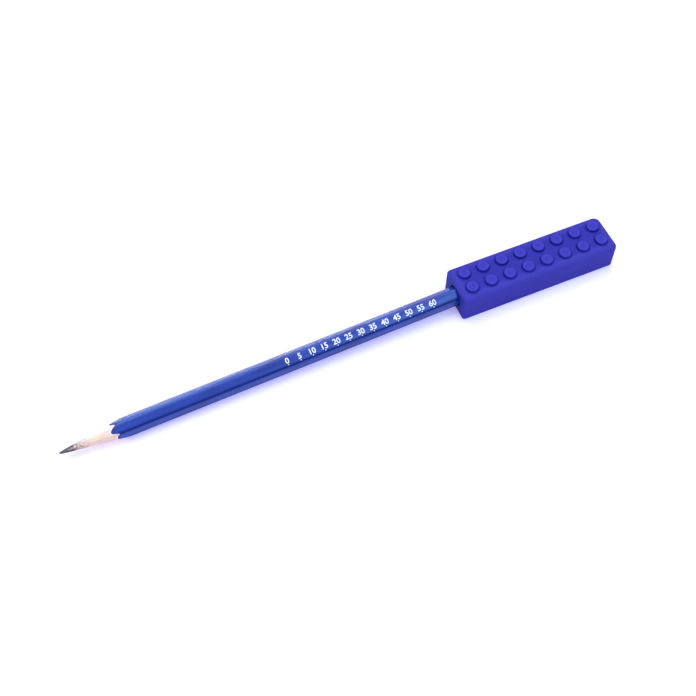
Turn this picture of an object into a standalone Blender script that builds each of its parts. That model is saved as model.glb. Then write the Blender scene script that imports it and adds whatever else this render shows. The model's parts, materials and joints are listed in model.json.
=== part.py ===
"""A hexagonal wooden pencil with a chewable stud-block topper pushed over its eraser end.

Lengths are in metres, angles in degrees, +Z is up. The origin is the middle of the topper's underside and
+X runs along the topper, from its mouth to its closed end. The pencil leaves the mouth towards -X. It droops
until the lowest corner of its barrel touches the surface that the topper lies on, it lies slightly askew, and
the soft topper's bore follows it. Pencil and bore share one axis, through the middle of the inserted length
at half the topper's height. The pencil is modelled along that axis, with its point at zero.
"""
import math

import bmesh
import bpy
from mathutils import Euler, Vector

# Topper
TOPPER_LENGTH = 0.0664
TOPPER_WIDTH = 0.0166
TOPPER_HEIGHT = 0.0126
TOPPER_MOUTH_CORNER_RADIUS = 0.0012
TOPPER_END_CORNER_RADIUS = 0.0018
TOPPER_LEAST_CORNER_RADIUS = 0.0004
TOPPER_TOP_EDGE_RADIUS = 0.0021
TOPPER_BASE_EDGE_RADIUS = 0.0006
STUD_DIAMETER = 0.0048
STUD_HEIGHT = 0.0012
STUD_RIM_RADIUS = 0.0004
STUD_PITCH_ALONG = 0.0080
STUD_PITCH_ACROSS = 0.0069
STUD_END_MARGIN = 0.0052
STUD_SIDE_MARGIN = 0.0047
MOUTH_LIP_RADIUS = 0.0003
BORE_CLEARANCE = 0.0002
BORE_POCKET_LENGTH = 0.0060
BORE_END_RADIUS = 0.0010

# Pencil
PENCIL_LENGTH = 0.1900
INSERTED_LENGTH = 0.0315
PENCIL_SKEW = 1.12
BARREL_ACROSS_FLATS = 0.0069
BARREL_CORNER_RADIUS = 0.0008
BARREL_ROLL = -6.5
LACQUER_THICKNESS = 0.00015
LEAD_DIAMETER = 0.0024
POINT_DIAMETER = 0.0004
SHARPENED_HALF_ANGLE = 8.5
SHARPENED_LEAN = 0.94
SHARPENED_LEAN_TOWARDS = 105.0
TENON_LENGTH = 0.0070
FERRULE_LENGTH = 0.0150
FERRULE_INNER_DIAMETER = 0.0063
FERRULE_WALL = 0.00025
FERRULE_BEAD_HEIGHT = 0.0002
FERRULE_BEAD_WIDTH = 0.0014
FERRULE_BEAD_SPACING = 0.0008
ERASER_EXPOSED_LENGTH = 0.0080
ERASER_EDGE_RADIUS = 0.0008

# Clearances between neighbouring pieces, and to the surface underneath
FIT_GAP = 0.00005
GLUE_LINE = 0.00005
FLOOR_GAP = 0.00005

# How far a shape that is joined on or cut away reaches past the face it crosses
OVERLAP = 0.0010

# Fineness of round shapes
ARC_STEPS = 4
STUD_SIDES = 24
BORE_SIDES = 48
PENCIL_SIDES = 36
FACET_STEPS = 4
BARREL_CORNER_STEPS = 2
SMOOTH_ANGLE = 40.0

# Sizes that follow from those
FACET_COUNT = 6
FACET_ANGLE = 2.0 * math.pi / FACET_COUNT
SHARPENED_SLOPE = math.tan(math.radians(SHARPENED_HALF_ANGLE))
SHARPENED_LEAN_SLOPE = math.tan(math.radians(SHARPENED_LEAN))
COAT_FLAT = BARREL_ACROSS_FLATS / 2
COAT_INNER_FLAT = COAT_FLAT - LACQUER_THICKNESS
COAT_INNER_CORNER_RADIUS = BARREL_CORNER_RADIUS - LACQUER_THICKNESS
WOOD_FLAT = COAT_INNER_FLAT - FIT_GAP
WOOD_CORNER_RADIUS = COAT_INNER_CORNER_RADIUS - FIT_GAP
LEAD_GROOVE_RADIUS = LEAD_DIAMETER / 2 + FIT_GAP
FERRULE_INNER_RADIUS = FERRULE_INNER_DIAMETER / 2
FERRULE_OUTER_RADIUS = FERRULE_INNER_RADIUS + FERRULE_WALL
FERRULE_END = PENCIL_LENGTH - ERASER_EXPOSED_LENGTH
FERRULE_START = FERRULE_END - FERRULE_LENGTH
FERRULE_BEAD_PITCH = FERRULE_BEAD_WIDTH + FERRULE_BEAD_SPACING
BARREL_END = FERRULE_START - FIT_GAP
TENON_END = FERRULE_START + TENON_LENGTH
PLUG_RADIUS = FERRULE_INNER_RADIUS - FIT_GAP
POINT_TO_PIVOT = PENCIL_LENGTH - INSERTED_LENGTH / 2
PIVOT = Vector(((INSERTED_LENGTH - TOPPER_LENGTH) / 2, 0.0, TOPPER_HEIGHT / 2))


def arc_angles(start, end, steps):
    """Evenly spaced angles from start to end, both included."""
    return [start + (end - start) * i / steps for i in range(steps + 1)]


def facet_straight_angle(flat_distance, corner_radius):
    """Angle from a facet's middle to where its rounded corner starts."""
    return math.atan((flat_distance - corner_radius) * math.tan(FACET_ANGLE / 2) / flat_distance)


def hexagon_radius(angle, flat_distance, corner_radius):
    """Distance from the axis to a hexagon with rounded corners. A facet faces angle zero."""
    from_facet = abs((angle + FACET_ANGLE / 2) % FACET_ANGLE - FACET_ANGLE / 2)
    if from_facet <= facet_straight_angle(flat_distance, corner_radius):
        return flat_distance / math.cos(from_facet)
    from_corner = FACET_ANGLE / 2 - from_facet
    centre = (flat_distance - corner_radius) / math.cos(FACET_ANGLE / 2)
    beside_centre = centre * math.sin(from_corner)
    return centre * math.cos(from_corner) + math.sqrt(corner_radius ** 2 - beside_centre ** 2)


def hexagon_angles(start_corner, facets):
    """Angles around the barrel from the middle of one corner over a number of facets."""
    half_corner = FACET_ANGLE / 2 - facet_straight_angle(COAT_FLAT, BARREL_CORNER_RADIUS)
    angles = []
    for facet in range(facets):
        start = start_corner + FACET_ANGLE * facet
        end = start + FACET_ANGLE
        angles += arc_angles(start, start + half_corner, BARREL_CORNER_STEPS)[:-1]
        angles += arc_angles(start + half_corner, end - half_corner, FACET_STEPS)
        angles += arc_angles(end - half_corner, end, BARREL_CORNER_STEPS)[1:-1]
    return angles


def sharpened_x(radius, angle):
    """Distance from the point at which the sharpened cone, which leans to one side, has a radius."""
    lean = SHARPENED_LEAN_SLOPE * math.cos(angle - math.radians(SHARPENED_LEAN_TOWARDS))
    return (radius - POINT_DIAMETER / 2) / (SHARPENED_SLOPE + lean)


def height_above_axis(angle):
    """Height of the rolled barrel's surface over the pencil's axis, at an angle around it."""
    radius = hexagon_radius(angle, COAT_FLAT, BARREL_CORNER_RADIUS)
    return radius * math.sin(angle + math.radians(BARREL_ROLL))


def droop_angle():
    """Tilt at which the barrel's lowest corner, behind the sharpened cone, meets the surface underneath."""
    lowest = min(hexagon_angles(FACET_ANGLE / 2, FACET_COUNT), key=height_above_axis)
    reach = POINT_TO_PIVOT - sharpened_x(hexagon_radius(lowest, COAT_FLAT, BARREL_CORNER_RADIUS), lowest)
    drop = PIVOT.z - FLOOR_GAP + height_above_axis(lowest)
    return math.asin(drop / reach)


# How the pencil lies, and the bore around it
BARREL_CORNER_REACH = hexagon_radius(FACET_ANGLE / 2, COAT_FLAT, BARREL_CORNER_RADIUS)
AXIS_TURN = Euler((0.0, -droop_angle(), math.radians(PENCIL_SKEW)))
PENCIL_TURN = Euler((math.radians(BARREL_ROLL), AXIS_TURN.y, AXIS_TURN.z))
PENCIL_DIRECTION = AXIS_TURN.to_matrix() @ Vector((1.0, 0.0, 0.0))
WIDEST_INSERTED_RADIUS = max(BARREL_CORNER_REACH, FERRULE_OUTER_RADIUS + FERRULE_BEAD_HEIGHT)
BORE_RADIUS = WIDEST_INSERTED_RADIUS + BORE_CLEARANCE
BORE_DEPTH = INSERTED_LENGTH + BORE_POCKET_LENGTH


def clear_scene():
    """Remove every object of the scene the script is run in."""
    for existing in list(bpy.data.objects):
        bpy.data.objects.remove(existing, do_unlink=True)


def make_material(name, colour, roughness, metallic=0.0):
    """Principled material with a linear colour."""
    material = bpy.data.materials.new(name)
    material.use_nodes = True
    shader = material.node_tree.nodes["Principled BSDF"]
    shader.inputs["Base Color"].default_value = (*colour, 1.0)
    shader.inputs["Roughness"].default_value = roughness
    shader.inputs["Metallic"].default_value = metallic
    return material


def add_object(name, bm, material=None, parent=None, location=(0.0, 0.0, 0.0), rotation=(0.0, 0.0, 0.0)):
    """Turn a bmesh into a smooth shaded object of the scene."""
    bmesh.ops.recalc_face_normals(bm, faces=bm.faces)
    mesh = bpy.data.meshes.new(name)
    bm.to_mesh(mesh)
    bm.free()
    mesh.shade_smooth()
    mesh.set_sharp_from_angle(angle=math.radians(SMOOTH_ANGLE))
    if material:
        mesh.materials.append(material)
    made = bpy.data.objects.new(name, mesh)
    made.parent = parent
    made.location = location
    made.rotation_euler = rotation
    bpy.context.scene.collection.objects.link(made)
    return made


def add_empty(name, location, rotation=(0.0, 0.0, 0.0)):
    """Empty that carries the pieces of one body."""
    empty = bpy.data.objects.new(name, None)
    empty.location = location
    empty.rotation_euler = rotation
    bpy.context.scene.collection.objects.link(empty)
    return empty


def add_boolean(target, tool, operation):
    """Join or cut a hidden shape with a Boolean modifier."""
    tool.hide_render = True
    tool.display_type = 'WIRE'
    modifier = target.modifiers.new(tool.name, 'BOOLEAN')
    modifier.operation = operation
    modifier.solver = 'EXACT'
    modifier.object = tool


def bridge(bm, first, second):
    """Quads between two loops of as many vertices."""
    count = len(first)
    for i in range(count):
        j = (i + 1) % count
        bm.faces.new((first[i], first[j], second[j], second[i]))


def add_skin(bm, outlines, closed=False):
    """Skin over outlines that follow one another, closed into a ring or capped at both ends."""
    loops = [[bm.verts.new(point) for point in outline] for outline in outlines]
    for first, second in zip(loops, loops[1:]):
        bridge(bm, first, second)
    if closed:
        bridge(bm, loops[-1], loops[0])
    else:
        bm.faces.new(loops[0])
        bm.faces.new(loops[-1])


def around_x(x, radius, angle):
    """Point at a radius from the X axis. The angle turns from +Y to +Z."""
    return Vector((x, radius * math.cos(angle), radius * math.sin(angle)))


def turned_solid(profile, sides):
    """Solid of revolution about X from (x, radius) pairs, with flat ends."""
    turns = [2.0 * math.pi * i / sides for i in range(sides)]
    bm = bmesh.new()
    add_skin(bm, [[around_x(x, radius, angle) for angle in turns] for x, radius in profile])
    return bm


def turned_tube(outline, sides):
    """Hollow solid of revolution about X from a closed outline of (x, radius) pairs."""
    turns = [2.0 * math.pi * i / sides for i in range(sides)]
    bm = bmesh.new()
    add_skin(bm, [[around_x(x, radius, angle) for x, radius in outline] for angle in turns], closed=True)
    return bm


def block_outline(z, inset):
    """Rounded rectangle in plan, drawn in from the topper's full size. Its mouth end has tighter corners."""
    points = []
    for quarter, (side_x, side_y) in enumerate(((1, 1), (-1, 1), (-1, -1), (1, -1))):
        full_radius = TOPPER_END_CORNER_RADIUS if side_x > 0 else TOPPER_MOUTH_CORNER_RADIUS
        radius = max(full_radius - inset, TOPPER_LEAST_CORNER_RADIUS)
        centre_x = side_x * (TOPPER_LENGTH / 2 - inset - radius) - PIVOT.x
        centre_y = side_y * (TOPPER_WIDTH / 2 - inset - radius)
        for angle in arc_angles(quarter * math.pi / 2, (quarter + 1) * math.pi / 2, ARC_STEPS):
            x = centre_x + radius * math.cos(angle)
            y = centre_y + radius * math.sin(angle)
            points.append(Vector((x, y, z)))
    return points


def topper_block():
    """The topper's body, with well rounded edges above and tighter ones below."""
    outlines = []
    for side, edge_radius in ((-1, TOPPER_BASE_EDGE_RADIUS), (1, TOPPER_TOP_EDGE_RADIUS)):
        centre = side * (TOPPER_HEIGHT / 2 - edge_radius)
        start = min(0.0, side * math.pi / 2)
        for angle in arc_angles(start, start + math.pi / 2, ARC_STEPS):
            inset = edge_radius * (1.0 - math.cos(angle))
            outlines.append(block_outline(centre + edge_radius * math.sin(angle), inset))
    bm = bmesh.new()
    add_skin(bm, outlines)
    return bm


def centred_places(length, margin, pitch):
    """Places at a pitch about the middle, as many as fit between two margins."""
    count = max(1, int((length - 2.0 * margin + FIT_GAP) / pitch) + 1)
    return [(i - (count - 1) / 2) * pitch for i in range(count)]


def stud_outlines(x, y):
    """Circles of one stud, from its root in the block to its rounded rim."""
    radius = STUD_DIAMETER / 2
    top = TOPPER_HEIGHT / 2 + STUD_HEIGHT
    profile = [(TOPPER_HEIGHT / 2 - OVERLAP, radius)]
    for angle in arc_angles(0.0, math.pi / 2, ARC_STEPS // 2):
        z = top - STUD_RIM_RADIUS * (1.0 - math.sin(angle))
        profile.append((z, radius - STUD_RIM_RADIUS * (1.0 - math.cos(angle))))
    turns = [2.0 * math.pi * i / STUD_SIDES for i in range(STUD_SIDES)]
    return [[Vector((x + r * math.cos(a), y + r * math.sin(a), z)) for a in turns] for z, r in profile]


def stud_pattern():
    """All studs, as shapes that the block is joined with."""
    bm = bmesh.new()
    for x in centred_places(TOPPER_LENGTH, STUD_END_MARGIN, STUD_PITCH_ALONG):
        for y in centred_places(TOPPER_WIDTH, STUD_SIDE_MARGIN, STUD_PITCH_ACROSS):
            add_skin(bm, stud_outlines(x - PIVOT.x, y))
    return bm


def bore_space():
    """The space of the blind bore, with a rounded lip at the mouth."""
    mouth = -INSERTED_LENGTH / 2
    end = mouth + BORE_DEPTH
    profile = [(mouth - OVERLAP, BORE_RADIUS + MOUTH_LIP_RADIUS)]
    for angle in arc_angles(0.0, math.pi / 2, ARC_STEPS):
        x = mouth + MOUTH_LIP_RADIUS * (1.0 - math.cos(angle))
        profile.append((x, BORE_RADIUS + MOUTH_LIP_RADIUS * (1.0 - math.sin(angle))))
    for angle in arc_angles(0.0, math.pi / 2, ARC_STEPS):
        x = end - BORE_END_RADIUS * (1.0 - math.sin(angle))
        profile.append((x, BORE_RADIUS - BORE_END_RADIUS * (1.0 - math.cos(angle))))
    return turned_solid(profile, BORE_SIDES)


def make_topper(carrier):
    """Soft block with rows of studs on top and a blind bore for the pencil."""
    material = make_material("topper_blue", (0.055, 0.053, 0.49), 0.55)
    topper = add_object("topper", topper_block(), material, carrier)
    add_boolean(topper, add_object("stud_shapes", stud_pattern(), parent=carrier), 'UNION')
    bore = add_object("bore_shape", bore_space(), parent=carrier, rotation=AXIS_TURN)
    add_boolean(topper, bore, 'DIFFERENCE')


def make_lead(carrier):
    """Graphite rod, sharpened to a slightly blunt point."""
    radius = LEAD_DIAMETER / 2
    turns = [2.0 * math.pi * i / PENCIL_SIDES for i in range(PENCIL_SIDES)]
    tip = [around_x(0.0, POINT_DIAMETER / 2, angle) for angle in turns]
    shoulder = [around_x(sharpened_x(radius, angle), radius, angle) for angle in turns]
    end = [around_x(TENON_END, radius, angle) for angle in turns]
    bm = bmesh.new()
    add_skin(bm, (tip, shoulder, end))
    add_object("graphite_lead", bm, make_material("graphite", (0.075, 0.075, 0.085), 0.38, 0.45), carrier)


def slat_section(angle):
    """Lengthwise outline of the wood at one angle: groove, sharpened cone, barrel and tenon."""
    barrel = hexagon_radius(angle, WOOD_FLAT, WOOD_CORNER_RADIUS)
    tenon = min(PLUG_RADIUS, barrel)
    outline = (
        (sharpened_x(LEAD_GROOVE_RADIUS, angle), LEAD_GROOVE_RADIUS),
        (sharpened_x(barrel, angle), barrel),
        (BARREL_END, barrel),
        (BARREL_END, tenon),
        (TENON_END, tenon),
        (TENON_END, LEAD_GROOVE_RADIUS),
    )
    return [around_x(x, radius, angle) for x, radius in outline]


def make_slat(name, start_corner, colour, carrier):
    """One grooved half of the casing, from corner to corner, set half a glue line off the seam."""
    half_turn = hexagon_angles(start_corner, FACET_COUNT // 2) + [start_corner + math.pi]
    bm = bmesh.new()
    add_skin(bm, [slat_section(angle) for angle in half_turn])
    off_seam = around_x(0.0, GLUE_LINE / 2, start_corner + math.pi / 2)
    add_object(name, bm, make_material(name + "_wood", colour, 0.65), carrier, off_seam)


def coat_section(angle):
    """Lengthwise outline of the lacquer at one angle, cut by the sharpened cone in front."""
    outside = hexagon_radius(angle, COAT_FLAT, BARREL_CORNER_RADIUS)
    inside = hexagon_radius(angle, COAT_INNER_FLAT, COAT_INNER_CORNER_RADIUS)
    outline = (
        (sharpened_x(inside, angle), inside),
        (sharpened_x(outside, angle), outside),
        (BARREL_END, outside),
        (BARREL_END, inside),
    )
    return [around_x(x, radius, angle) for x, radius in outline]


def make_coat(carrier):
    """Lacquer over the whole barrel, up to the ferrule."""
    bm = bmesh.new()
    add_skin(bm, [coat_section(angle) for angle in hexagon_angles(FACET_ANGLE / 2, FACET_COUNT)], closed=True)
    add_object("lacquer_coat", bm, make_material("lacquer_blue", (0.035, 0.075, 0.43), 0.22), carrier)


def bead_profile(centre):
    """One raised bead of the ferrule."""
    points = []
    for angle in arc_angles(0.0, math.pi, ARC_STEPS):
        x = centre - FERRULE_BEAD_WIDTH / 2 * math.cos(angle)
        points.append((x, FERRULE_OUTER_RADIUS + FERRULE_BEAD_HEIGHT * math.sin(angle)))
    return points


def make_ferrule(carrier):
    """Thin metal sleeve over the tenon and the eraser's root, with two raised beads."""
    outline = [(FERRULE_START, FERRULE_INNER_RADIUS), (FERRULE_START, FERRULE_OUTER_RADIUS)]
    for side in (-1, 1):
        outline += bead_profile(TENON_END + side * FERRULE_BEAD_PITCH / 2)
    outline += [(FERRULE_END, FERRULE_OUTER_RADIUS), (FERRULE_END, FERRULE_INNER_RADIUS)]
    material = make_material("aluminium", (0.78, 0.79, 0.80), 0.28, 1.0)
    add_object("ferrule", turned_tube(outline, PENCIL_SIDES), material, carrier)


def make_eraser(carrier):
    """Rubber plug in the ferrule, with a rounded free end."""
    profile = [(TENON_END + FIT_GAP, PLUG_RADIUS)]
    for angle in arc_angles(0.0, math.pi / 2, ARC_STEPS):
        x = PENCIL_LENGTH - ERASER_EDGE_RADIUS * (1.0 - math.sin(angle))
        profile.append((x, PLUG_RADIUS - ERASER_EDGE_RADIUS * (1.0 - math.cos(angle))))
    material = make_material("eraser_pink", (0.72, 0.27, 0.25), 0.75)
    add_object("eraser", turned_solid(profile, PENCIL_SIDES), material, carrier)


def make_pencil(carrier):
    """Every piece of the pencil, along its own axis."""
    seam_corner = FACET_ANGLE * 2.5
    make_lead(carrier)
    make_slat("casing_slat_upper", seam_corner - math.pi, (0.78, 0.64, 0.47), carrier)
    make_slat("casing_slat_lower", seam_corner, (0.74, 0.58, 0.44), carrier)
    make_coat(carrier)
    make_ferrule(carrier)
    make_eraser(carrier)


def main():
    """Build the topper and the pencil at rest, each on an empty on the axis that the topper slides along."""
    clear_scene()
    make_topper(add_empty("topper_seat", PIVOT))
    point = PIVOT - POINT_TO_PIVOT * PENCIL_DIRECTION
    make_pencil(add_empty("pencil_axis", point, PENCIL_TURN))


main()
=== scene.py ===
"""Looks of a hexagonal pencil with a chewable stud-block topper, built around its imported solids.

Lengths are in metres, apart from the camera's lens and sensor, and +Z is up. Angles are in degrees where
they are set and in radians where they are worked out. The topper is modelled where it lies. The pencil's
pieces are modelled along their own axis, with the point at zero and the barrel's first facet at angle zero,
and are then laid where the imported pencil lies.
"""
import json
import math

import bmesh
import bpy
from mathutils import Euler, Matrix, Vector


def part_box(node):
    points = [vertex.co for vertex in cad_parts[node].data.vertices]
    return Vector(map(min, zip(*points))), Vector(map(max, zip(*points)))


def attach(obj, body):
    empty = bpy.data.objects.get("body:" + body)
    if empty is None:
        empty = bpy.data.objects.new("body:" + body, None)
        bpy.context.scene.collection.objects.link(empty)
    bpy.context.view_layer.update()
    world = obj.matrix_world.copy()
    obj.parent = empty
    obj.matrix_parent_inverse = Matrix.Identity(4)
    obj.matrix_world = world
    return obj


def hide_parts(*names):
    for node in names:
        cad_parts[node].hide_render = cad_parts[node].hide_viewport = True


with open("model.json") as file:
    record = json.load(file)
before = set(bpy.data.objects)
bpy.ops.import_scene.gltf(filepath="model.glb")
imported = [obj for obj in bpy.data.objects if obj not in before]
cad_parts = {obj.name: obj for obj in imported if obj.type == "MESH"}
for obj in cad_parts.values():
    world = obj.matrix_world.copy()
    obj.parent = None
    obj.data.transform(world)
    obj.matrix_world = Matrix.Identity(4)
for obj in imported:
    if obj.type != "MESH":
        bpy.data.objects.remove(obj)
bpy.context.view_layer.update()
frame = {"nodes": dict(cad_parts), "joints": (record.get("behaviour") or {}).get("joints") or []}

# Camera and studio
CAMERA_AIM = Vector((-0.07886, -0.00205, 0.0))
CAMERA_DISTANCE = 0.44051
CAMERA_AZIMUTH = -23.64
CAMERA_ELEVATION = 57.906
CAMERA_LENS = 60.035
CAMERA_SENSOR = 36.0
FLOOR_SIZE = 8.0
FLOOR_DROP = 0.00005
SOFTBOX_DISTANCE = 1.0
WASH_PLACE = (-0.150, 0.038, 0.30)
WASH_LENGTH = 0.20
WASH_WIDTH = 0.04
WASH_SPREAD = 2.5
WASH_POWER = 0.30
WASH_COLOUR = (0.80, 1.08, 0.92)
SKY_COLOUR = (0.62, 0.61, 1.0, 1.0)
SKY_RISE = (0.12, 0.75)
SKY_STRENGTH = (0.04, 1.3)
BACKDROP_COLOUR = (0.75, 0.71, 0.97, 1.0)

# Topper, beyond what its packed box gives
STUD_DIAMETER = 0.0048
STUD_HEIGHT = 0.0012
STUD_RIM_RADIUS = 0.0004
STUD_FOOT_RADIUS = 0.0003
STUD_DISH = 0.00010
STUD_PITCH_ALONG = 0.0080
STUD_PITCH_ACROSS = 0.0069
STUDS_ALONG = 8
STUDS_ACROSS = 2
MOUTH_CORNER_RADIUS = 0.0012
END_CORNER_RADIUS = 0.0018
FAR_END_CORNER_RADIUS = 0.0028
LEAST_CORNER_RADIUS = 0.0004
TOP_EDGE_RADIUS = 0.0021
BASE_EDGE_RADIUS = 0.0006
BORE_RADIUS = 0.00406
BORE_DEPTH = 0.0375
BORE_LIP_RADIUS = 0.0003
BORE_END_RADIUS = 0.0010

# Pencil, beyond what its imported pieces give
BARREL_ACROSS_FLATS = 0.0069
BARREL_CORNER_RADIUS = 0.0008
BARREL_FACET_RADIUS = 0.0200
BARREL_ROLL = -6.5
LACQUER_THICKNESS = 0.00015
LACQUER_TOP_COAT = 0.00010
POINT_DIAMETER = 0.0005
POINT_ROUND_END = 8.6
POINT_SWELL = 0.00017
POINT_SWELL_PLACE = 0.0032
SHARPENED_HALF_ANGLE = 8.16
SHARPENED_LEAN = 0.95
SHARPENED_LEAN_TOWARDS = 111.0
SCALLOP_SKEW = 0.025
SCALLOP_SINK = 0.08
TENON_LENGTH = 0.0070
FERRULE_WALL = 0.00025
FERRULE_BEAD_HEIGHT = 0.0002
FERRULE_BEAD_WIDTH = 0.0014
FERRULE_BEAD_PITCH = 0.0022
FERRULE_FLUTES = 36
FERRULE_FLUTE_DEPTH = 0.00007
FERRULE_FLUTE_MARGIN = 0.0009
ERASER_EDGE_RADIUS = 0.0008
FIT_GAP = 0.00005
GLUE_LINE = 0.00005

# Unsteadiness of the sharpener: share of the slope, waves in a turn and start in radians
CUT_WAVERS = ((0.006, 5, 0.7), (0.004, 13, 2.1))

# Printed scale on the front facet
SCALE_START = 0.0880
SCALE_PITCH = 0.0050
SCALE_UNIT = 0.001
SCALE_MARKS = 13
TICK_WIDTH = 0.00030
TICK_LENGTH = 0.00035
TICK_FOOT = -0.00148
NUMERAL_HEIGHT = 0.0021
NUMERAL_SHARE = 0.7
NUMERAL_FOOT = -0.00072
NUMERAL_THICKENING = 0.00005
FOIL_THICKNESS = 0.000012

# Colours, as linear red, green and blue
TOPPER_BLUE = (0.028, 0.027, 0.246)
TOPPER_CLOUD = (0.034, 0.032, 0.274)
TOPPER_SPECK = (0.042, 0.040, 0.330)
# Painted highlight on the topper's rounded upper edges
TOPPER_EDGE_PAINTED_HIGHLIGHT = (0.050, 0.045, 0.302)
# Painted shade on the flat top around each stud's foot
STUD_FOOT_PAINTED_SHADE = (0.010, 0.010, 0.178)
# Painted shade on each stud's upright wall
STUD_WALL_PAINTED_SHADE = (0.009, 0.009, 0.185)
# Painted highlight on each stud's top and rim
STUD_TOP_PAINTED_HIGHLIGHT = (0.048, 0.045, 0.330)
# Painted shade inside the bore
BORE_PAINTED_SHADE = (0.001, 0.001, 0.020)
LACQUER_DEEP = (0.005, 0.029, 0.185)
LACQUER_BLUE = (0.010, 0.051, 0.280)
LACQUER_GRAIN = (0.012, 0.068, 0.335)
# Painted highlight on the barrel's top ridge
LACQUER_TOP_RIDGE_PAINTED_HIGHLIGHT = (0.024, 0.115, 0.380)
# Painted shade on the barrel's ridges below the top one
LACQUER_PAINTED_RIDGE_SHADE = (0.000, 0.014, 0.105)
# Cut edge of the lacquer, nearly black: partly its own dark edge, partly painted shade along the cut
CUT_LACQUER = ((0.001, 0.002, 0.012), (0.003, 0.005, 0.030))
CUT_PRIMER = ((0.80, 0.79, 0.76), (0.88, 0.87, 0.85))
CREAM_WOOD = ((0.83, 0.695, 0.410), (0.77, 0.605, 0.350), (0.46, 0.32, 0.22))
# The lower slat is coloured a little rosier and darker than the upper one
ROSY_WOOD = ((0.82, 0.63, 0.40), (0.74, 0.52, 0.33), (0.46, 0.29, 0.22))
# Painted highlight on the side of the wood that faces up and back
WOOD_PAINTED_HIGHLIGHT = (0.92, 0.87, 0.60)
SMUDGED_WOOD = (0.20, 0.105, 0.110)
GRAPHITE_DARK = (0.012, 0.011, 0.008)
# Painted highlight on the lead
GRAPHITE_PAINTED_HIGHLIGHT = (0.39, 0.36, 0.25)
ALUMINIUM_CLEAN = (0.80, 0.81, 0.82)
ALUMINIUM_DULL = (0.66, 0.67, 0.68)
ERASER_PINK = (0.70, 0.26, 0.24)
ERASER_PALE = (0.78, 0.34, 0.31)
ERASER_GRIT = (0.88, 0.62, 0.58)
FOIL_WHITE = (0.86, 0.88, 0.93)
FOIL_WORN = (0.55, 0.62, 0.82)
TABLE_WHITE = (0.92, 0.92, 0.92)
TABLE_FIBRE = (0.93, 0.93, 0.93)
TABLE_GLOW = (0.80, 0.65, 1.0, 1.0)
TABLE_GLOW_STRENGTH = 0.20

# Where and how far a finish, its painted highlights and its painted shade change, with a start and an end
# where there are two values
PAINTED_EDGE_HIGHLIGHT_RADII = (1.75, 1.05)
TOP_FACE_DEPTHS = (0.0003, 0.0001)
STUD_PAINTED_SHADE_WIDTH = 0.0009
RIDGE_REACH = (0.00352, 0.00378)
TOP_RIDGE_HEIGHT = (0.0027, 0.0033)
PAINTED_RIDGE_HIGHLIGHT_STRETCH = (0.036, 0.085)
PAINTED_RIDGE_SHADE_SHARE = 0.88
SMUDGED_STRETCH = (0.0055, 0.0120)
LEAD_PAINTED_HIGHLIGHT_STRETCH = (0.0005, 0.0055)
LEAD_PAINTED_HIGHLIGHT_SIDE = 122.0
WOOD_PAINTED_HIGHLIGHT_SIDE = 60.0
LOWER_SIDE = 180.0

# Depths of the fine relief
TOOTH_DEPTH = 0.000012
PEEL_DEPTH = 0.000010
LACQUER_GRAIN_DEPTH = 0.000004
CHIP_DEPTH = 0.00002
PORE_DEPTH = 0.00002
CUTTING_MARK_DEPTH = 0.00002
TURNING_MARK_DEPTH = 0.000012
DRAWING_LINE_DEPTH = 0.000006
GRIT_DEPTH = 0.00003
STAMP_DEPTH = 0.000006

# Fineness of the meshes
SIDE_STEPS = 12
CORNER_STEPS = 8
FILLET_STEPS = 8
WALL_STEPS = 14
BORE_STEPS = 16
FACET_STEPS = 12
RIDGE_STEPS = 8
BARREL_STEPS = 48
CONE_STEPS = 20
SOLVING_STEPS = 8
TURNED_SIDES = 72
SIDES_PER_FLUTE = 6
DISH_SHARES = (0.8, 0.6, 0.4, 0.2, 0.0)
FACE_SHARES = (0.66, 0.33)
WELD_DISTANCE = 1e-7
SHARP_ANGLE = 35.0

# Middle range of a noise pattern, and the sockets of a colour mix node, whose names repeat
NOISE_RANGE = (0.3, 0.7)
MIX_FACTOR = 0
MIX_FIRST = 6
MIX_SECOND = 7
MIX_RESULT = 2

# Sizes that follow from those, with angles in radians
FACET_COUNT = 6
FACET_ANGLE = 2.0 * math.pi / FACET_COUNT
SHARPENED_SLOPE = math.tan(math.radians(SHARPENED_HALF_ANGLE))
LEAN_SLOPE = math.tan(math.radians(SHARPENED_LEAN))
COAT_FLAT = BARREL_ACROSS_FLATS / 2
WOOD_DEPTH = LACQUER_THICKNESS + FIT_GAP
FRONT_FACET_ANGLE = 2.0 * FACET_ANGLE
SEAM_ANGLE = 2.5 * FACET_ANGLE


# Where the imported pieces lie

def pencil_axis():
    """Direction that the topper is pulled along, from the pencil's point to its eraser."""
    return Vector(frame["joints"][0]["axis"]).normalized()


def node_points(node):
    """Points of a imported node, where it lies."""
    return [vertex.co for vertex in frame["nodes"][node].data.vertices]


def pencil_point():
    """Middle of the blunt tip of the lead."""
    axis = pencil_axis()
    points = node_points("graphite_lead")
    first = min(point.dot(axis) for point in points)
    tip = [point for point in points if point.dot(axis) < first + FIT_GAP]
    return sum(tip, Vector()) / len(tip)


def pencil_matrix():
    """Places what is modelled along the pencil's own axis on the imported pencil."""
    axis = pencil_axis()
    turn = Euler((math.radians(BARREL_ROLL), -math.asin(axis.z), math.atan2(axis.y, axis.x)))
    return Matrix.Translation(pencil_point()) @ turn.to_matrix().to_4x4()


def span(node):
    """Start and end of a node of the pencil, from the pencil's point."""
    axis = pencil_axis()
    start = pencil_point()
    distances = [(point - start).dot(axis) for point in node_points(node)]
    return min(distances), max(distances)


def reach(node):
    """Largest distance of a node of the pencil from the pencil's axis."""
    axis = pencil_axis()
    start = pencil_point()
    return max((point - start).cross(axis).length for point in node_points(node))


def mouth_centre():
    """Where the pencil's axis goes through the plane of the topper's mouth end."""
    axis = pencil_axis()
    start = pencil_point()
    return start + axis * (BLOCK_LOW.x - start.x) / axis.x


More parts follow.
